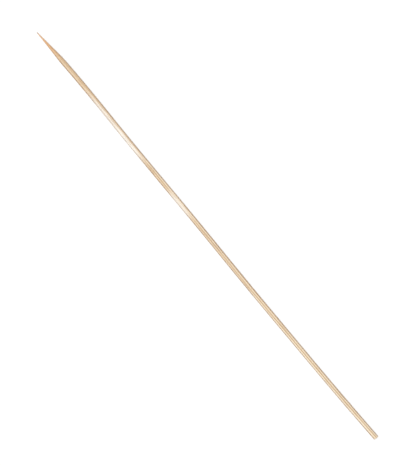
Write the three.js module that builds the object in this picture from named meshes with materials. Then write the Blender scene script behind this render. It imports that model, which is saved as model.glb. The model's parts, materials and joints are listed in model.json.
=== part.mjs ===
// A bamboo skewer: one round stick, ground to a long point at one end and sawn square at the other.
// It lies along X with the point at -X, on the plane z = 0. Lengths are in millimetres.
import * as THREE from "three";

// Driving dimensions
const LENGTH = 300; // tip of the point to the sawn end
const DIAMETER = 3; // across the shaft
const POINT_LENGTH = 23; // ground cone, with its shoulder
const SHOULDER_LENGTH = 5; // where the cone rounds over into the shaft
const TIP_DIAMETER = 0.36; // the blunt end of the point
const RIM_RADIUS = 0.22; // the worn edge round the sawn end
const SWAY = [-0.07, 0.58, 0.09, 0.18, 0.12, 0.11]; // sideways bend: heights of one lobe, two lobes and so on

// Fineness of the surface
const SIDES = 32;
const SHAFT_STEP = 6; // along the shaft
const CONE_STEP = 2; // along the cone
const SHOULDER_STEPS = 6;
const TIP_STEPS = 4;
const RIM_STEPS = 4;

const BAMBOO = { color: 0xdfc8a5, roughness: 0.62, metalness: 0 };

const radius = DIAMETER / 2;
const tipRadius = TIP_DIAMETER / 2;

// The half outline of the straight stick, as (distance from the axis, distance from the sawn end).
// Each stretch leaves out its first point, where the one before it ends.
function outline() {
  const coneEnd = LENGTH - tipRadius;
  const shoulderStart = LENGTH - POINT_LENGTH;
  const shoulderEnd = shoulderStart + SHOULDER_LENGTH;
  const corner = shoulderStart + SHOULDER_LENGTH / 2;
  const slope = (radius - tipRadius) / (coneEnd - corner);

  const rim = new THREE.Path().absarc(radius - RIM_RADIUS, RIM_RADIUS, RIM_RADIUS, -Math.PI / 2, 0);
  const shaft = new THREE.LineCurve(at(radius, RIM_RADIUS), at(radius, shoulderStart));
  const shoulder = new THREE.QuadraticBezierCurve(
    at(radius, shoulderStart),
    at(radius, corner),
    at(radius - slope * (shoulderEnd - corner), shoulderEnd),
  );
  const cone = new THREE.LineCurve(shoulder.v2, at(tipRadius, coneEnd));
  const tip = new THREE.Path().absarc(0, coneEnd, tipRadius, 0, Math.PI / 2);

  return [
    at(0, 0),
    ...rim.getPoints(RIM_STEPS),
    ...stretch(shaft, SHAFT_STEP),
    ...shoulder.getPoints(SHOULDER_STEPS).slice(1),
    ...stretch(cone, CONE_STEP),
    ...tip.getPoints(TIP_STEPS).slice(1, -1),
    at(0, LENGTH),
  ];
}

function at(fromAxis, fromSawnEnd) {
  return new THREE.Vector2(fromAxis, fromSawnEnd);
}

// Even points along a straight line, no further apart than the step.
function stretch(line, step) {
  return line.getPoints(Math.ceil(line.getLength() / step)).slice(1);
}

// How far the stick's middle line lies to the side of a straight line between its two ends.
function sway(fromTip) {
  const share = THREE.MathUtils.clamp(fromTip / LENGTH, 0, 1);
  return SWAY.reduce((sum, height, i) => sum + height * Math.sin((i + 1) * Math.PI * share), 0);
}

// The stick is turned with a flat side down, laid along X and then bent to the side.
function skewerGeometry() {
  const geometry = new THREE.LatheGeometry(outline(), SIDES);
  geometry.rotateY(Math.PI / SIDES);
  geometry.rotateZ(Math.PI / 2);
  geometry.translate(LENGTH, 0, 0);
  const position = geometry.getAttribute("position");
  for (let i = 0; i < position.count; i += 1) {
    position.setY(i, position.getY(i) + sway(position.getX(i)));
  }
  return restOnPlane(geometry);
}

// Puts the origin at the middle of the underside.
function restOnPlane(geometry) {
  geometry.computeBoundingBox();
  const box = geometry.boundingBox;
  const middle = box.getCenter(new THREE.Vector3());
  geometry.translate(-middle.x, -middle.y, -box.min.z);
  geometry.computeVertexNormals();
  return geometry;
}

const skewer = new THREE.Mesh(skewerGeometry(), new THREE.MeshStandardMaterial(BAMBOO));
skewer.name = "skewer";

const part = new THREE.Group();
part.add(skewer);

export default part;
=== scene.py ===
import bpy
import json
import math
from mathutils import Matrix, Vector


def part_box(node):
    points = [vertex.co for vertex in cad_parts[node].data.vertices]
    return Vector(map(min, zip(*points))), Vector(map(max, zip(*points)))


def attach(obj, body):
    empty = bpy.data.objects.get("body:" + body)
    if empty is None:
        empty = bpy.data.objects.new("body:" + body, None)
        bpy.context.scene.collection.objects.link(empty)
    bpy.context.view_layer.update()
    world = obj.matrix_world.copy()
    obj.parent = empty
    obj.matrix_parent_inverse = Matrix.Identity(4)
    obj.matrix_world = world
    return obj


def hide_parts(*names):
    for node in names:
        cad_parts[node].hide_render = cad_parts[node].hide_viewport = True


# A bamboo skewer lying on a pale floor. Lengths are in metres, or in millimetres where a note says so.

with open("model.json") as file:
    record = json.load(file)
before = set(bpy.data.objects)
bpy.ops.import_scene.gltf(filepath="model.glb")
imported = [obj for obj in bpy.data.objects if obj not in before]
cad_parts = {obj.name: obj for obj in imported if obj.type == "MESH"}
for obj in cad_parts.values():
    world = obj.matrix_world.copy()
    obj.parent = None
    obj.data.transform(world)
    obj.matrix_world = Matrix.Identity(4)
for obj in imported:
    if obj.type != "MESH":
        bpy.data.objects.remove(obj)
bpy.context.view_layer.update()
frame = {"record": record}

mm = 0.001
stickLow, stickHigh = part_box("skewer")
mountPlaces = {mount["name"]: mount["pos_m"] for mount in frame["record"]["mounts"]}
sawnCentre = Vector(mountPlaces["sawn_end"])  # the stick's middle line starts here and ends at the tip
clearance = 0.002 * mm  # kept to the solid's box at the tip, above and below
stickLength = stickHigh.x - stickLow.x - clearance


def srgb(red, green, blue):  # a colour as read off a screen, 0 to 255
    parts = [value / 255 for value in (red, green, blue)]
    linear = [part / 12.92 if part <= 0.04045 else ((part + 0.055) / 1.055) ** 2.4 for part in parts]
    return (*linear, 1.0)


# Node trees are written as formulas: a Field is a number, vector or colour that flows through a tree

def feed(tree, socket, value):
    if isinstance(value, Field):
        tree.links.new(value.socket, socket)
    else:
        socket.default_value = value


class Field:
    def __init__(self, tree, socket):
        self.tree = tree
        self.socket = socket

    def node(self, kind, inputs, output=0, **settings):
        return addNode(self.tree, kind, inputs, output, **settings)

    def math(self, operation, *others):
        return self.node("ShaderNodeMath", dict(enumerate((self, *others))), operation=operation)

    def __add__(self, other):
        return self.math("ADD", other)

    def __sub__(self, other):
        return self.math("SUBTRACT", other)

    def __mul__(self, other):
        return self.math("MULTIPLY", other)

    def __truediv__(self, other):
        return self.math("DIVIDE", other)

    def sine(self):
        return self.math("SINE")

    def cosine(self):
        return self.math("COSINE")

    def size(self):  # without its sign
        return self.math("ABSOLUTE")

    def share(self, low, high):  # 0 at low, 1 at high, straight between
        return self.node("ShaderNodeMapRange", {0: self, 1: low, 2: high}, clamp=True)

    def step(self, low, high):  # 0 at low, 1 at high, with soft ends
        return self.node("ShaderNodeMapRange", {0: self, 1: low, 2: high}, interpolation_type="SMOOTHSTEP")

    def inverse(self):  # 1 where this is 0, and 0 where it is 1
        return self.node("ShaderNodeMath", {0: 1.0, 1: self}, operation="SUBTRACT")

    def parts(self):
        split = self.tree.nodes.new("ShaderNodeSeparateXYZ")
        feed(self.tree, split.inputs[0], self)
        return [Field(self.tree, output) for output in split.outputs]


def addNode(tree, kind, inputs, output=0, **settings):
    node = tree.nodes.new(kind)
    for name, value in settings.items():
        setattr(node, name, value)
    for key, value in inputs.items():
        feed(tree, node.inputs[key], value)
    return Field(tree, node.outputs[output])


def vector(tree, x, y, z):
    return addNode(tree, "ShaderNodeCombineXYZ", {0: x, 1: y, 2: z})


def noise(tree, place, detail=2.0, roughness=0.5, output=0):
    inputs = {"Vector": place, "Scale": 1.0, "Detail": detail, "Roughness": roughness}
    return addNode(tree, "ShaderNodeTexNoise", inputs, output)


def mixColour(tree, share, first, second):
    return addNode(tree, "ShaderNodeMix", {0: share, 6: first, 7: second}, 2, data_type="RGBA")


def labelled(values):  # reliefDepth becomes Relief Depth
    def label(name):
        return "".join(" " + letter if letter.isupper() else letter for letter in name).title()
    return {label(name): value for name, value in values.items()}


socketTypes = {int: "NodeSocketInt", float: "NodeSocketFloat", Vector: "NodeSocketVector"}


def newGroup(name, kind, inputs, outputs):
    tree = bpy.data.node_groups.new(name, kind)
    for label, value in inputs.items():
        socket = tree.interface.new_socket(label, in_out="INPUT", socket_type=socketTypes[type(value)])
        socket.default_value = value
    for label, socketType in outputs.items():
        tree.interface.new_socket(label, in_out="OUTPUT", socket_type="NodeSocket" + socketType)
    start = tree.nodes.new("NodeGroupInput")
    given = {label: Field(tree, start.outputs[label]) for label in inputs}
    return tree, given, tree.nodes.new("NodeGroupOutput")


def useGroup(tree, kind, group, inputs):  # a placed group's outputs, by name
    node = tree.nodes.new(kind)
    node.node_tree = group
    for label, value in inputs.items():
        feed(tree, node.inputs[label], value)
    return {output.name: Field(tree, output) for output in node.outputs}


# The named noises of the wood: how often each one repeats in a millimetre, along the fibres and
# across them. One that serves as a mask grows from 0 to 1 between two levels of its noise.

patterns = {
    "drift": {"along": 0.014, "across": 0.25},
    "fibre": {"along": 0.05, "across": 6.0, "low": 0.3, "high": 0.7},
    "fineFibre": {"along": 0.4, "across": 22.0},
    "thread": {"along": 0.045, "across": 13.0, "low": 0.45, "high": 0.62},
    "fleck": {"along": 1.3, "across": 9.0, "low": 0.56, "high": 0.72},
    "torn": {"along": 0.07, "across": 3.6, "low": 0.7, "high": 0.76},
    "oval": {"along": 0.02, "across": 0.45},
    "tone": {"along": 0.06, "across": 0.5, "low": 0.35, "high": 0.7},
    "streak": {"along": 0.035, "across": 1.5, "low": 0.42, "high": 0.62},
    "pebble": {"along": 0.9, "across": 1.9, "low": 0.4, "high": 0.66},
    "grinding": {"along": 9.0, "across": 1.2},
    "chips": {"along": 0.0, "across": 7.0},
    "peeled": {"along": 0.8, "across": 30.0},
}
noiseMiddle = 0.5  # the level that a noise keeps to on average


def pattern(tree, name, pointParts, shift=0.0, **settings):
    repeats = patterns[name]
    along, across, up = pointParts
    alongPlace = along * repeats["along"] + shift
    place = vector(tree, alongPlace, across * repeats["across"], up * repeats["across"])
    return noise(tree, place, **settings)


def mask(tree, name, pointParts, shift=0.0, **settings):
    levels = patterns[name]
    return pattern(tree, name, pointParts, shift, **settings).step(levels["low"], levels["high"])


# The wood itself: fibre bundles that run the whole length, fine fibres between them, and torn grooves.
# The same field cuts the surface in Geometry Nodes and colours it in the materials.
# Its point is that of the straight stick: from the tip, and across it, in millimetres.

grain = {  # lengths in millimetres
    "bundleSpacing": 0.4,
    "bundleScatter": 0.8,  # 0 sets the bundles in rows, 1 anywhere
    "bundleWidth": 0.17,
    "leastHalf": 0.3,  # half the width of the thinnest bundle, as a share of that
    "halfSpread": 0.5,  # what the thickest one has more
    "bundleEdge": 1.25,  # a bundle fades in from here to its core, in half widths from its middle
    "bundleCore": 0.7,
    "wander": 1.1,  # how far the bundles drift to the side
    "seed": 5.3,
}


def grainGroup(name, kind):
    inputs = {"Point": Vector((0, 0, 0))} | labelled(grain)
    outputs = {"Bundle": "Float", "Tone": "Float", "Fibre": "Float", "Fleck": "Float", "Torn": "Float"}
    tree, given, end = newGroup(name, kind, inputs, outputs)
    along, across, up = given["Point"].parts()
    seed = given["Seed"]

    # Bundles drift slowly from side to side, so they come and go on the turned surface
    drift = pattern(tree, "drift", (along, across, up), seed, detail=1.0, output=1)
    driftAcross, driftUp, _ = drift.parts()
    across = across + (driftAcross - noiseMiddle) * given["Wander"]
    up = up + (driftUp - noiseMiddle) * given["Wander"]
    drifted = (along, across, up)

    spacing = given["Bundle Spacing"]
    cells = tree.nodes.new("ShaderNodeTexVoronoi")
    cells.voronoi_dimensions = "2D"
    feed(tree, cells.inputs["Vector"], vector(tree, across / spacing, up / spacing, 0.0))
    feed(tree, cells.inputs["Scale"], 1.0)
    feed(tree, cells.inputs["Randomness"], given["Bundle Scatter"])
    fromMiddle = Field(tree, cells.outputs["Distance"]) * spacing
    tone, thickness, _ = Field(tree, cells.outputs["Color"]).parts()
    halfWidth = given["Bundle Width"] * (thickness * given["Half Spread"] + given["Least Half"])
    bundle = (fromMiddle / halfWidth).step(given["Bundle Edge"], given["Bundle Core"])

    feed(tree, end.inputs["Bundle"], bundle)
    feed(tree, end.inputs["Tone"], tone)
    feed(tree, end.inputs["Fibre"], mask(tree, "fibre", drifted, detail=3.0, roughness=0.6))
    feed(tree, end.inputs["Fleck"], mask(tree, "fleck", drifted, seed, detail=1.0))
    feed(tree, end.inputs["Torn"], mask(tree, "torn", drifted, seed, detail=0.0))
    return tree


# Sideways bend of the middle line, in millimetres: the heights of one lobe, two lobes and so on,
# as on the solid

swayHeights = (-0.07, 0.58, 0.09, 0.18, 0.12, 0.11)


def swayGroup():
    inputs = {"From Tip": 0.0, "Length": stickLength}
    tree, given, end = newGroup("swayOfTheStick", "GeometryNodeTree", inputs, {"Sway": "Float"})
    share = (given["From Tip"] / given["Length"]).share(0.0, 1.0)
    total = None
    for lobes, height in enumerate(swayHeights, start=1):
        lobe = (share * (lobes * math.pi)).sine() * (height * mm)
        total = lobe if total is None else total + lobe
    feed(tree, end.inputs["Sway"], total)
    return tree


def swayAt(tree, fromTip):
    return useGroup(tree, "GeometryNodeGroup", swayTree, {"From Tip": fromTip})["Sway"]


# A point of the straight stick, put where it lies on the bent one

def placed(tree, fromTip, across, up):
    x = fromTip + (stickLow.x + clearance)
    return vector(tree, x, across + swayAt(tree, fromTip) + sawnCentre.y, up + sawnCentre.z)


def inMillimetres(tree, fromTip, across, up):
    return vector(tree, fromTip / mm, across / mm, up / mm)


def storeAttribute(tree, mesh, name, value, dataType="FLOAT_VECTOR", domain="POINT"):
    inputs = {"Geometry": mesh, "Name": name, "Value": value}
    return addNode(tree, "GeometryNodeStoreNamedAttribute", inputs, data_type=dataType, domain=domain)


def runTree(name, tree, values):  # a plain mesh object made by a Geometry Nodes tree
    carrier = bpy.data.objects.new(name + "Carrier", bpy.data.meshes.new(name + "Carrier"))
    bpy.context.scene.collection.objects.link(carrier)
    modifier = carrier.modifiers.new(name, "NODES")
    modifier.node_group = tree
    for item in tree.interface.items_tree:
        if item.in_out == "INPUT":
            modifier[item.identifier] = values[item.name]
    bpy.context.view_layer.update()
    evaluated = carrier.evaluated_get(bpy.context.evaluated_depsgraph_get())
    mesh = bpy.data.meshes.new_from_object(evaluated)
    mesh.name = name
    if mesh.materials[0] is None:  # an empty slot that no face uses
        mesh.materials.pop(index=0)
    bpy.data.objects.remove(carrier)
    piece = bpy.data.objects.new(name, mesh)
    bpy.context.scene.collection.objects.link(piece)
    print(name, len(mesh.polygons), "faces")
    return piece


# The map that a bake of the stick uses: its side in strips one below the other, and the sawn face
# beside them

bakeMap = {
    "strips": 6,
    "stripStep": 9.75 * mm,
    "girth": 9.35 * mm,
    "gap": 0.2 * mm,
    "faceMiddle": (54.6 * mm, 6.0 * mm),
    "faceScale": 2.2,
}


def inMiddleOfFace(tree, value):  # one value for a whole face, so that a face stays on one strip
    return addNode(tree, "GeometryNodeFieldOnDomain", {"Value": value}, domain="FACE", data_type="FLOAT")


def mapPlace(tree, fromSawn, turnShare, across, up, onSide):
    strips, gap = bakeMap["strips"], bakeMap["gap"]
    mapSize = strips * bakeMap["stripStep"]
    stripLength = stickLength / strips
    strip = (inMiddleOfFace(tree, fromSawn) / stripLength).math("FLOOR").math("MINIMUM", strips - 1.0)
    sideU = fromSawn - strip * stripLength + gap
    sideV = strip * bakeMap["stripStep"] + turnShare * bakeMap["girth"] + gap
    faceU = across * bakeMap["faceScale"] + bakeMap["faceMiddle"][0]
    faceV = up * bakeMap["faceScale"] + bakeMap["faceMiddle"][1]
    mapU = faceU + (sideU - faceU) * onSide
    mapV = faceV + (sideV - faceV) * onSide
    return vector(tree, mapU / mapSize, mapV / mapSize, 0.0)


sawCut = {
    "deepMarks": 5.0,  # in a millimetre, cut into the sawn face
    "fineMarks": 9.0,  # in a millimetre, in its colour and bump
    "slant": 0.3,
    "stretch": 0.1,  # how often a mark changes along itself, as a share of how often across
}


def sawMarks(tree, acrossMm, upMm, perMm):  # slanting scratches across the sawn face
    slanted = acrossMm + upMm * sawCut["slant"]
    along = upMm * (perMm * sawCut["stretch"])
    return noise(tree, vector(tree, slanted * perMm, along, 0.0), detail=1.0)


# The turned stick: a grid rolled up round the axis, whose rows run from the middle of the sawn face
# to the tip

stick = {
    "length": stickLength,
    "radius": sawnCentre.z - clearance,
    "pointLength": 23 * mm,
    "shoulderPlace": 0.9,  # where the cone would meet the shaft, as a share of the point's length
    "shoulderBlend": 0.24 * mm,  # how softly the cone runs into the shaft
    "tipRadius": 0.18 * mm,
    "rimRadius": 0.22 * mm,
    "sides": 120,
    "faceRows": 18,
    "rimRows": 6,
    "shaftRows": 490,
    "pointRows": 150,
    "tipRows": 8,
    "weldDistance": 0.0005 * mm,
    "reliefDepth": 0.03 * mm,  # from the hard fibre bundles down to the soft wood between them
    "fibreHardness": 0.6,  # how far a fine fibre stands up, as a share of that
    "tornDepth": 0.07 * mm,  # grooves where a fibre was pulled out
    "roundness": 0.018 * mm,  # how far the section strays from a circle
    "facets": 5.0,  # flats left by the grinding of the point
    "facetDepth": 0.05,  # as a share of the point's radius
    "facetFull": 0.75,  # where the flats reach that depth, as a share of the point's length
    "facetTwist": 9.0,  # how strongly they wander round the point
    "faceDepth": 0.05 * mm,  # broken fibre ends on the sawn face
    "sawShare": 0.4,  # of that depth, for the marks of the saw
    "chipShare": 0.4,
    "softShare": 0.35,
    "seed": 3.7,
}


def stickTree(sideWood, sawnWood):
    tree, given, end = newGroup("turnedStick", "GeometryNodeTree", labelled(stick), {"Mesh": "Geometry"})
    sizes = ("Length", "Radius", "Rim Radius", "Tip Radius", "Point Length")
    length, radius, rim, tip, pointLength = (given[size] for size in sizes)
    seed = given["Seed"]

    faceEnd = given["Face Rows"]
    rimEnd = faceEnd + given["Rim Rows"]
    shaftEnd = rimEnd + given["Shaft Rows"]
    pointEnd = shaftEnd + given["Point Rows"]
    rows = pointEnd + given["Tip Rows"]
    counts = {"Vertices X": rows + 1.0, "Vertices Y": given["Sides"] + 1.0}
    grid = addNode(tree, "GeometryNodeMeshGrid", {"Size X": 1.0, "Size Y": 1.0} | counts)
    gridX, gridY, _ = addNode(tree, "GeometryNodeInputPosition", {}).parts()
    row = (gridX + 0.5) * rows
    turnShare = gridY + 0.5
    turn = turnShare * math.tau

    # How far each stretch of the outline has run at a row, from 0 to 1
    onFace = row.share(0.0, faceEnd)
    onRim = row.share(faceEnd, rimEnd)
    onShaft = row.share(rimEnd, shaftEnd)
    onPoint = row.share(shaftEnd, pointEnd)
    onTip = row.share(pointEnd, rows)

    quarter = math.pi / 2
    shaftLength = length - pointLength - rim
    fromSawn = rim - (onRim * quarter).cosine() * rim + onShaft * shaftLength
    fromSawn = fromSawn + onPoint * (pointLength - tip) + (onTip * quarter).sine() * tip
    fromTip = length - fromSawn
    outline = onFace * (radius - rim) + (onRim * quarter).sine() * rim
    slope = (radius - tip) / (pointLength * given["Shoulder Place"])
    cone = tip + (fromTip.math("MAXIMUM", tip) - tip) * slope
    cone = cone.math("SMOOTH_MIN", radius, given["Shoulder Blend"])
    outline = outline * cone / radius * (onTip * quarter).cosine()

    across, up = outline * turn.cosine(), outline * turn.sine()
    point = inMillimetres(tree, fromTip, across, up)
    pointParts = point.parts()
    _, acrossMm, upMm = pointParts
    wood = useGroup(tree, "GeometryNodeGroup", grainForShape, {"Point": point})

    # Radial relief on the turned side, which fades out at the tip
    soft = wood["Bundle"].math("MAXIMUM", wood["Fibre"] * given["Fibre Hardness"]).inverse()
    oval = pattern(tree, "oval", pointParts, seed, detail=1.0)
    flats = (turn * given["Facets"] + oval * given["Facet Twist"]).sine() * 0.5 + 0.5
    onCone = fromTip.step(pointLength, pointLength * given["Facet Full"])
    relief = soft * given["Relief Depth"] + wood["Torn"] * given["Torn Depth"] + oval * given["Roundness"]
    relief = relief * (outline / radius) + flats * given["Facet Depth"] * outline * onCone
    outline = outline - relief * onRim

    # Broken fibre ends on the sawn face, with the marks of the saw across it
    saw = sawMarks(tree, acrossMm, upMm, sawCut["deepMarks"])
    chips = pattern(tree, "chips", pointParts, seed)
    broken = saw * given["Saw Share"] + chips * given["Chip Share"]
    broken = (broken + wood["Bundle"].inverse() * given["Soft Share"]) * given["Face Depth"]
    fromTip = fromTip - broken * onRim.inverse()

    onSide = inMiddleOfFace(tree, row).math("GREATER_THAN", faceEnd)
    mesh = storeAttribute(tree, grid, "grainPoint", point)
    places = mapPlace(tree, fromSawn, turnShare, across, up, onSide)
    mesh = storeAttribute(tree, mesh, "OFBake", places, "FLOAT2", "CORNER")
    bent = placed(tree, fromTip, outline * turn.cosine(), outline * turn.sine())
    mesh = addNode(tree, "GeometryNodeSetPosition", {"Geometry": mesh, "Position": bent})
    weldInputs = {"Geometry": mesh, "Distance": given["Weld Distance"]}
    mesh = addNode(tree, "GeometryNodeMergeByDistance", weldInputs)
    mesh = addNode(tree, "GeometryNodeSetShadeSmooth", {"Geometry": mesh, "Shade Smooth": True})
    mesh = addNode(tree, "GeometryNodeRealizeInstances", {"Geometry": mesh})
    mesh = addNode(tree, "GeometryNodeSetMaterial", {"Geometry": mesh, "Material": sideWood})
    endX = addNode(tree, "GeometryNodeInputPosition", {}).parts()[0]
    sawn = endX.math("GREATER_THAN", stickHigh.x - stick["rimRadius"] / 2)  # from half way along the rim
    sawnInputs = {"Geometry": mesh, "Selection": sawn, "Material": sawnWood}
    mesh = addNode(tree, "GeometryNodeSetMaterial", sawnInputs)
    feed(tree, end.inputs["Mesh"], mesh)
    return tree


# Raised fibres: slim slivers along the side, each peeled up a little at one end

splinters = {
    "count": 90,
    "seed": 11,
    "shortest": 1.2 * mm,
    "longest": 7.0 * mm,
    "width": 0.085 * mm,
    "thickness": 0.045 * mm,
    "depth": 0.02 * mm,  # how far the lying end is below the stick's full radius
    "lift": 0.22 * mm,  # how far the free end would rise if the curl ran its full course
    "curlStart": 0.35,  # that course, in lengths of the sliver from its lying end
    "curlEnd": 1.3,
    "clearance": 0.01 * mm,  # kept to the sides of the solid's box
    "ringSegments": 6,
    "rings": 8,
}


def splinterTree(fibreWood):
    inputs = labelled(splinters)
    tree, given, end = newGroup("raisedFibres", "GeometryNodeTree", inputs, {"Mesh": "Geometry"})

    def random(low, high, number):
        values = {2: low, 3: high, 8: given["Seed"] + float(number)}
        return addNode(tree, "FunctionNodeRandomValue", values, 1, data_type="FLOAT")

    size = random(given["Shortest"], given["Longest"], 1)
    room = stickLength - stick["pointLength"] - splinters["longest"]
    start = random(0.0, 1.0, 2) * room + stick["pointLength"]
    angle = random(0.0, math.tau, 3)
    facing = random(0.0, 1.0, 4).math("GREATER_THAN", 0.5)

    points = addNode(tree, "GeometryNodePoints", {"Count": given["Count"]})
    for name, value in (("size", size), ("start", start), ("angle", angle), ("facing", facing)):
        points = storeAttribute(tree, points, name, value, "FLOAT")
    sphere = {"Segments": given["Ring Segments"], "Rings": given["Rings"], "Radius": 1.0}
    sliver = addNode(tree, "GeometryNodeMeshUVSphere", sphere)
    slivers = addNode(tree, "GeometryNodeInstanceOnPoints", {"Points": points, "Instance": sliver})
    slivers = addNode(tree, "GeometryNodeRealizeInstances", {"Geometry": slivers})

    def named(name):
        return addNode(tree, "GeometryNodeInputNamedAttribute", {"Name": name}, data_type="FLOAT")

    # The sphere's own axis becomes the sliver's length
    ballX, ballY, ballZ = addNode(tree, "GeometryNodeInputPosition", {}).parts()
    along = ballZ * 0.5 + 0.5
    fromTip = named("start") + along * named("size")
    cosine, sine = named("angle").cosine(), named("angle").sine()

    # The free end stands off as far as there is room in the solid's box
    notZero = 0.01
    lyingRadius = given["Depth"] * -1.0 + stick["radius"]
    inside = given["Clearance"] + given["Thickness"]
    roomUp = (inside * -1.0 + sawnCentre.z) / sine.size().math("MAXIMUM", notZero)
    middle = swayAt(tree, fromTip) + sawnCentre.y
    roomAside = inside * -1.0 + stickHigh.y - middle * cosine.math("SIGN")
    roomAside = roomAside / cosine.size().math("MAXIMUM", notZero)
    highest = (roomUp.math("MINIMUM", roomAside) - lyingRadius).math("MAXIMUM", 0.0)
    towardsFreeEnd = along + named("facing") * (along.inverse() - along)
    curl = towardsFreeEnd.step(given["Curl Start"], given["Curl End"])
    lift = (curl * given["Lift"]).math("MINIMUM", highest)
    sideways = ballX * given["Width"] * -0.5
    outwards = ballY * given["Thickness"] * 0.5 + lift + lyingRadius
    across = outwards * cosine - sideways * sine
    up = outwards * sine + sideways * cosine

    mesh = storeAttribute(tree, slivers, "grainPoint", inMillimetres(tree, fromTip, across, up))
    bent = placed(tree, fromTip, across, up)
    mesh = addNode(tree, "GeometryNodeSetPosition", {"Geometry": mesh, "Position": bent})
    for name in ("size", "start", "angle", "facing"):
        mesh = addNode(tree, "GeometryNodeRemoveAttribute", {"Geometry": mesh, "Name": name})
    mesh = addNode(tree, "GeometryNodeSetShadeSmooth", {"Geometry": mesh, "Shade Smooth": True})
    mesh = addNode(tree, "GeometryNodeRealizeInstances", {"Geometry": mesh})
    mesh = addNode(tree, "GeometryNodeSetMaterial", {"Geometry": mesh, "Material": fibreWood})
    feed(tree, end.inputs["Mesh"], mesh)
    return tree


# Materials. Places on the stick are in millimetres: from the tip, across from the middle line, and
# the height above it. A share says how strongly a colour covers what lies under it.

bamboo = {
    "cream": srgb(240, 218, 187),
    "tan": srgb(213, 182, 143),
    "bundle": srgb(176, 128, 80),
    "bundlePale": srgb(208, 170, 124),
    "fleck": srgb(186, 144, 98),
    # the dark brown of the bundle dots on the sawn face, and of the painted shade in the torn grooves
    "torn": srgb(146, 102, 60),
    # the near white of the painted sheen
    "pale": srgb(253, 246, 234),
    # partly a pale fibre colour, partly painted sheen
    "paleLineAndSheen": srgb(252, 238, 213),
    "tanLine": srgb(190, 156, 108),
    "tip": srgb(240, 188, 138),
    # the dark brown of the painted shade at the very tip
    "tipShade": srgb(150, 112, 76),
    # the brown of the painted shade on the flanks
    "sideShade": srgb(172, 124, 77),
    "cutEdge": srgb(232, 217, 195),
    "cutFace": srgb(226, 203, 168),
    "bundleShare": 0.7,
    "fleckShare": 0.35,
}


def newMaterial(name):
    material = bpy.data.materials.new(name)
    material.use_nodes = True
    tree = material.node_tree
    return material, tree, tree.nodes["Principled BSDF"]


def woodHere(tree):  # the point of the straight stick that the mesh carries, and the wood there
    point = addNode(tree, "ShaderNodeAttribute", {}, "Vector", attribute_name="grainPoint")
    return point.parts(), useGroup(tree, "ShaderNodeGroup", grainForColour, {"Point": point})


def bump(tree, height, depth):
    return addNode(tree, "ShaderNodeBump", {"Height": height, "Strength": 1.0, "Distance": depth})


def woodColour(tree, wood):
    colour = mixColour(tree, wood["Fibre"], bamboo["cream"], bamboo["tan"])
    bundleColour = mixColour(tree, wood["Tone"], bamboo["bundle"], bamboo["bundlePale"])
    colour = mixColour(tree, wood["Bundle"] * bamboo["bundleShare"], colour, bundleColour)
    return mixColour(tree, wood["Fleck"] * bamboo["fleckShare"], colour, bamboo["fleck"])


# Painted shade: the flanks, which show as the stick's edges from above, are browner than the upper side,
# less so on the underside and towards the sawn end

sideShadeLook = {
    "noneAbove": 1.38,  # heights
    "fullBelow": 0.45,
    "underside": -1.5,
    "upperSide": 0.5,
    "undersideShare": 0.65,
    "upperSideMore": 0.35,  # so the share on the upper side is the sum of these two
    "strongUpTo": 190.0,  # distances from the tip
    "weakFrom": 240.0,
    "weakShare": 0.5,
    "strongMore": 0.22,
    "plainShare": 0.68,  # between the streaks and threads, which add the next two
    "streakMore": 0.4,
    "threadMore": 0.25,
}


def paintedSideShade(along, up, streak, thread):
    look = sideShadeLook
    low = up.step(look["noneAbove"], look["fullBelow"])
    lengthwise = along.step(look["weakFrom"], look["strongUpTo"])
    lengthwise = lengthwise * look["strongMore"] + look["weakShare"]
    roundIt = up.share(look["underside"], look["upperSide"])
    roundIt = roundIt * look["upperSideMore"] + look["undersideShare"]
    fibrous = streak * look["streakMore"] + thread * look["threadMore"] + look["plainShare"]
    return low * lengthwise * roundIt * fibrous


def stretchOf(along, start, end, fade):  # 1 between two distances from the tip, with soft ends
    return along.step(start - fade, start + fade) * along.step(end + fade, end - fade)


lines = (  # long fibre lines of the upper side; the pale ones are partly painted sheen, strongest on the side towards the lamp
    {"start": 190, "end": 302, "across": 0.05, "width": 0.65, "colour": "tanLine", "share": 0.85},
    {"start": 94, "end": 118, "across": 0.05, "width": 0.6, "colour": "tanLine", "share": 0.8},
    {"start": 140, "end": 190, "across": 0.1, "width": 0.5, "colour": "tanLine", "share": 0.6},
    {"start": 92, "end": 302, "across": 0.66, "width": 0.7, "colour": "paleLineAndSheen", "share": 1.1},
    {"start": 188, "end": 302, "across": -0.66, "width": 0.95, "colour": "paleLineAndSheen", "share": 1.3},
    {"start": 18, "end": 52, "across": -0.45, "width": 0.6, "colour": "paleLineAndSheen", "share": 0.5},
    {"start": 6, "end": 60, "across": 0.35, "width": 0.4, "colour": "tanLine", "share": 0.5},
    {"start": 92, "end": 186, "across": -0.6, "width": 0.7, "colour": "paleLineAndSheen", "share": 0.75},
)
lineLook = {
    "noneBelow": 0.3,  # heights
    "fullAbove": 1.1,
    "fade": 8,
    "core": 0.25,  # where a line has its full share, as a share of its half width
    "waver": 0.9,  # how far the lines drift to the side
    "seed": 4.0,
    "plainShare": 0.35,  # with the next two, a line breaks up into single fibres
    "fibreMore": 0.55,
    "threadMore": 0.5,
}


def paintLines(tree, colour, pointParts, fibre, thread):
    along, across, up = pointParts
    drift = pattern(tree, "drift", pointParts, lineLook["seed"], detail=0.0)
    waver = (drift - noiseMiddle) * lineLook["waver"]
    ragged = fibre * lineLook["fibreMore"] + thread * lineLook["threadMore"] + lineLook["plainShare"]
    onTop = up.step(lineLook["noneBelow"], lineLook["fullAbove"]) * ragged
    for line in lines:
        half = line["width"] / 2
        band = (across - line["across"] - waver).size().step(half, half * lineLook["core"])
        band = band * stretchOf(along, line["start"], line["end"], lineLook["fade"]) * onTop
        colour = mixColour(tree, band * line["share"], colour, bamboo[line["colour"]])
    return colour


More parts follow.
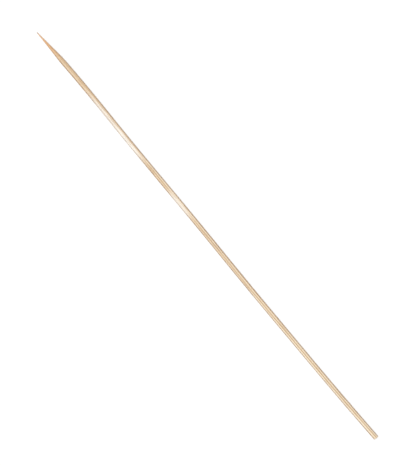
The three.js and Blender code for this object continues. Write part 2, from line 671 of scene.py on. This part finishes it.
sheenPatches = (  # painted sheen: pale stretches of the upper side, palest on the side towards the lamp
    {"start": 49, "end": 71, "fade": 9, "share": 0.8},
    {"start": 69, "end": 92, "fade": 8, "share": 1.0},
    {"start": 119, "end": 135, "fade": 5, "share": 0.75},
)
sheenPatchLook = {
    "noneBelow": 0.1,  # heights
    "fullAbove": 1.15,
    "darkSide": 1.3,  # from here a patch grows paler across the stick, up to the next
    "paleSide": -0.7,
}


def paintSheenPatches(tree, colour, along, across, up):
    upper = up.step(sheenPatchLook["noneBelow"], sheenPatchLook["fullAbove"])
    upper = upper * across.step(sheenPatchLook["darkSide"], sheenPatchLook["paleSide"])
    for patch in sheenPatches:
        inside = stretchOf(along, patch["start"], patch["end"], patch["fade"]) * upper
        colour = mixColour(tree, inside * patch["share"], colour, bamboo["pale"])
    return colour


sideLook = {
    "toneShare": 0.25,
    "streakShare": 0.3,
    "pebbleShare": 0.16,
    "threadShare": 0.42,
    "tornShadeShare": 0.6,
    "groundFrom": 24.0,  # the ground point starts here; its marks, and an orange tint, grow full towards the tip
    "orangeTipFull": 5.0,
    "groundMarksFull": 18.0,
    "orangeTipShare": 0.72,
    # painted shade: the last millimetres of the point darker
    "tipShadeFrom": 1.8,
    "tipShadeFull": 0.1,
    "tipShadeShare": 0.6,
    "cutEdgeFrom": 0.8,  # distances from the sawn end
    "cutEdgeFull": 0.2,
    "cutEdgeShare": 0.5,
    "roughness": 0.43,
    "fibreRougher": 0.14,
    "groundRougher": 0.1,
    "bundleBump": 0.6,
    "threadBump": 0.4,
    "grindingBump": 0.7,
    "bumpDepth": 0.026 * mm,
}


def sideMaterial():
    look = sideLook
    material, tree, shader = newMaterial("bambooSide")
    pointParts, wood = woodHere(tree)
    along, across, up = pointParts
    colour = woodColour(tree, wood)

    # Slow changes of tone along the stick, long streaks and a faint mottle
    tone = mask(tree, "tone", pointParts)
    streak = mask(tree, "streak", pointParts)
    pebble = mask(tree, "pebble", pointParts, detail=1.0)
    thread = mask(tree, "thread", pointParts, detail=1.0)
    tanShare = tone * look["toneShare"] + streak * look["streakShare"]
    colour = mixColour(tree, tanShare, colour, bamboo["tan"])
    colour = mixColour(tree, pebble * look["pebbleShare"], colour, bamboo["fleck"])
    colour = mixColour(tree, thread * look["threadShare"], colour, bamboo["bundlePale"])

    # painted shade, browner on the flanks
    colour = mixColour(tree, paintedSideShade(along, up, streak, thread), colour, bamboo["sideShade"])
    colour = paintLines(tree, colour, pointParts, wood["Fibre"], thread)
    # painted sheen on the upper side
    colour = paintSheenPatches(tree, colour, along, across, up)

    nearTip = along.step(look["groundFrom"], look["orangeTipFull"])
    # painted shade at the very tip
    tipShade = along.step(look["tipShadeFrom"], look["tipShadeFull"])
    lengthMm = stickLength / mm
    cutEdge = along.step(lengthMm - look["cutEdgeFrom"], lengthMm - look["cutEdgeFull"])
    colour = mixColour(tree, nearTip * look["orangeTipShare"], colour, bamboo["tip"])
    colour = mixColour(tree, tipShade * look["tipShadeShare"], colour, bamboo["tipShade"])
    colour = mixColour(tree, cutEdge * look["cutEdgeShare"], colour, bamboo["cutEdge"])
    # painted shade: darker colour in the torn grooves
    colour = mixColour(tree, wood["Torn"] * look["tornShadeShare"], colour, bamboo["torn"])
    feed(tree, shader.inputs["Base Color"], colour)

    roughness = wood["Fibre"] * look["fibreRougher"] + nearTip * look["groundRougher"] + look["roughness"]
    feed(tree, shader.inputs["Roughness"], roughness)

    grinding = pattern(tree, "grinding", pointParts, detail=1.0)
    grinding = grinding * along.step(look["groundFrom"], look["groundMarksFull"])
    height = pattern(tree, "fineFibre", pointParts) + wood["Bundle"] * look["bundleBump"]
    height = height + thread * look["threadBump"] + grinding * look["grindingBump"]
    feed(tree, shader.inputs["Normal"], bump(tree, height, look["bumpDepth"]))
    return material


sawnLook = {
    "bundleShare": 0.85,
    "sawLow": 0.45,  # the two levels of noise between which a mark of the saw shows
    "sawHigh": 0.7,
    "sawShare": 0.35,
    "roughness": 0.8,
    "bundleBump": 0.5,
    "bumpDepth": 0.03 * mm,
}


def sawnMaterial():
    look = sawnLook
    material, tree, shader = newMaterial("bambooSawnFace")
    (_, across, up), wood = woodHere(tree)
    colour = mixColour(tree, wood["Fibre"], bamboo["cutFace"], bamboo["tan"])
    dot = mixColour(tree, wood["Tone"], bamboo["torn"], bamboo["bundle"])
    colour = mixColour(tree, wood["Bundle"] * look["bundleShare"], colour, dot)
    saw = sawMarks(tree, across, up, sawCut["fineMarks"])
    sawShare = saw.step(look["sawLow"], look["sawHigh"]) * look["sawShare"]
    colour = mixColour(tree, sawShare, colour, bamboo["cutEdge"])
    feed(tree, shader.inputs["Base Color"], colour)
    shader.inputs["Roughness"].default_value = look["roughness"]
    height = saw + wood["Bundle"] * look["bundleBump"]
    feed(tree, shader.inputs["Normal"], bump(tree, height, look["bumpDepth"]))
    return material


splinterLook = {
    "creamShare": 0.4,
    "roughness": 0.65,
    "bumpDepth": 0.008 * mm,
}


def splinterMaterial():
    material, tree, shader = newMaterial("bambooRaisedFibre")
    pointParts, wood = woodHere(tree)
    colour = mixColour(tree, splinterLook["creamShare"], woodColour(tree, wood), bamboo["cream"])
    feed(tree, shader.inputs["Base Color"], colour)
    shader.inputs["Roughness"].default_value = splinterLook["roughness"]
    peeled = pattern(tree, "peeled", pointParts, detail=1.0)
    feed(tree, shader.inputs["Normal"], bump(tree, peeled, splinterLook["bumpDepth"]))
    return material


# The stage: camera, floor, light

view = {
    "imageWidth": 418,
    "imageHeight": 466,
    "tipPixel": Vector((36.8, 32.3)),  # where the two ends of the stick are in the photograph
    "sawnPixel": Vector((376.3, 438.0)),
    "cameraHeight": 0.937,
    "sensor": 36.0,  # millimetres
    "clipStart": 0.01,
}


# The camera looks straight down, turned so that the stick crosses the picture as in the photograph

def addCamera():
    alongPicture = view["sawnPixel"] - view["tipPixel"]
    pixelsPerMetre = alongPicture.length / stickLength
    angle = math.atan2(alongPicture.y, alongPicture.x)
    right = Vector((math.cos(angle), math.sin(angle), 0))
    upwards = Vector((-math.sin(angle), math.cos(angle), 0))
    middle = (view["tipPixel"] + view["sawnPixel"]) / 2
    offset = Vector((view["imageWidth"], view["imageHeight"])) / 2 - middle
    aim = Vector((0, sawnCentre.y, sawnCentre.z)) + (right * offset.x - upwards * offset.y) / pixelsPerMetre
    data = bpy.data.cameras.new("camera")
    data.sensor_width = view["sensor"]
    data.lens = view["sensor"] * view["cameraHeight"] * pixelsPerMetre / view["imageHeight"]
    data.clip_start = view["clipStart"]
    camera = bpy.data.objects.new("camera", data)
    camera.location = aim + Vector((0, 0, view["cameraHeight"]))
    camera.rotation_euler = (0, 0, angle)
    bpy.context.scene.collection.objects.link(camera)
    bpy.context.scene.camera = camera


stage = {
    "floorSize": 8.0,
    "floor": (0.55, 0.55, 0.55, 1.0),
    "floorGlow": 0.48,  # only seen directly, so that the floor is white and keeps its shadow
    "whiteFrom": 0.4,  # from here outwards the floor runs into the white background
    "whiteTo": 1.2,
    "white": (1.0, 1.0, 1.0, 1.0),
    "skyLight": 0.32,
    "keyPower": 11.7,
    "keySize": 0.6,
    "keyPlace": Vector((-0.05, -0.1, 1.2)),
}


def seenDirectly(tree):  # 1 for the camera, reflections and what is seen through glass
    path = tree.nodes.new("ShaderNodeLightPath")
    rays = ("Is Camera Ray", "Is Glossy Ray", "Is Transmission Ray")
    camera, glossy, transmission = (Field(tree, path.outputs[name]) for name in rays)
    return camera.math("MAXIMUM", glossy).math("MAXIMUM", transmission)


def addFloor():
    half = stage["floorSize"] / 2
    corners = [(-half, -half, 0), (half, -half, 0), (half, half, 0), (-half, half, 0)]
    mesh = bpy.data.meshes.new("floor")
    mesh.from_pydata(corners, [], [(0, 1, 2, 3)])
    material, tree, shader = newMaterial("paleFloor")
    shader.inputs["Base Color"].default_value = stage["floor"]
    shader.inputs["Roughness"].default_value = 1.0
    shader.inputs["Specular IOR Level"].default_value = 0.0
    shader.inputs["Emission Color"].default_value = stage["white"]
    place = addNode(tree, "ShaderNodeTexCoord", {}, "Object")
    fromMiddle = addNode(tree, "ShaderNodeVectorMath", {0: place}, "Value", operation="LENGTH")
    farAway = fromMiddle.step(stage["whiteFrom"], stage["whiteTo"])
    glow = farAway * (1.0 - stage["floorGlow"]) + stage["floorGlow"]
    feed(tree, shader.inputs["Emission Strength"], seenDirectly(tree) * glow)
    mesh.materials.append(material)
    floor = bpy.data.objects.new("floor", mesh)
    bpy.context.scene.collection.objects.link(floor)


def addLight():
    world = bpy.data.worlds.new("studio")
    world.use_nodes = True
    tree = world.node_tree
    background = tree.nodes["Background"]
    background.inputs["Color"].default_value = stage["white"]
    sky = stage["skyLight"]
    feed(tree, background.inputs["Strength"], seenDirectly(tree) * (1 - sky) + sky)
    bpy.context.scene.world = world

    data = bpy.data.lights.new("key", "AREA")
    data.energy = stage["keyPower"]
    data.size = stage["keySize"]
    lamp = bpy.data.objects.new("key", data)
    lamp.location = stage["keyPlace"]
    lamp.rotation_euler = (-stage["keyPlace"]).to_track_quat("-Z", "Y").to_euler()
    bpy.context.scene.collection.objects.link(lamp)


addCamera()
print("camera set")

grainForShape = grainGroup("bambooGrainShape", "GeometryNodeTree")
grainForColour = grainGroup("bambooGrain", "ShaderNodeTree")
swayTree = swayGroup()
print("wood grain made")

body = runTree("skewer_stick", stickTree(sideMaterial(), sawnMaterial()), labelled(stick))
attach(body, "root")
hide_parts("skewer")

fibres = runTree("raised_fibres", splinterTree(splinterMaterial()), labelled(splinters))
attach(fibres, "root")

addFloor()
addLight()
scene = bpy.context.scene
scene.view_settings.view_transform = "Standard"
print("stage set")
